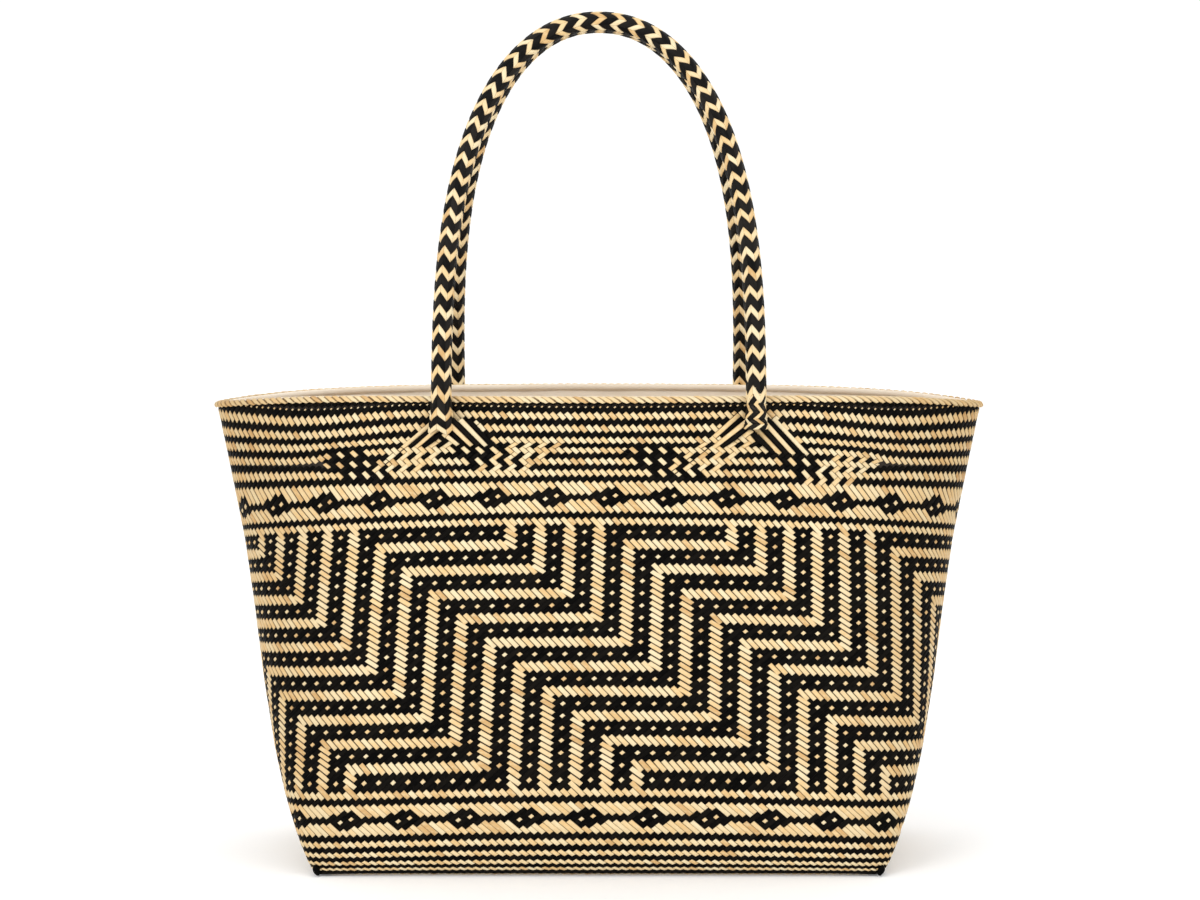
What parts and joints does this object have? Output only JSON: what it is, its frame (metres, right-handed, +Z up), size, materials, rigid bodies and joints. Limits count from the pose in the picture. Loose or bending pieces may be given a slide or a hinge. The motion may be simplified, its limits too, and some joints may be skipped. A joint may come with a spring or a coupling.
{
  "type": "rattan tote bag",
  "caption": "Tall plaited rattan tote bag with an oval mouth, a wrapped rim, a cloth lining and two braided arched carrying handles.",
  "frame": {"origin": "centre of the base's underside, on the surface that the bag stands on", "axes": "+X to the bag's right as the front is looked at, -Y towards the front, +Z up"},
  "size_m": [0.4532, 0.1646, 0.4941],
  "materials": {
    "woven_straw": "satin plaited rattan in cream and black",
    "natural_straw": "satin natural rattan",
    "lining_cloth": "plain weave cotton",
    "braided_straw": "satin braided rattan in cream and black"
  },
  "bodies": {
    "root": {"woven_body": "woven_straw", "rim_binding": "natural_straw", "lining": "lining_cloth", "lining_hem": "lining_cloth", "handle_front": "braided_straw", "handle_back": "braided_straw", "handle_foot_front_left": "woven_straw", "handle_foot_front_right": "woven_straw", "handle_foot_back_left": "woven_straw", "handle_foot_back_right": "woven_straw"}
  },
  "joints": []
}
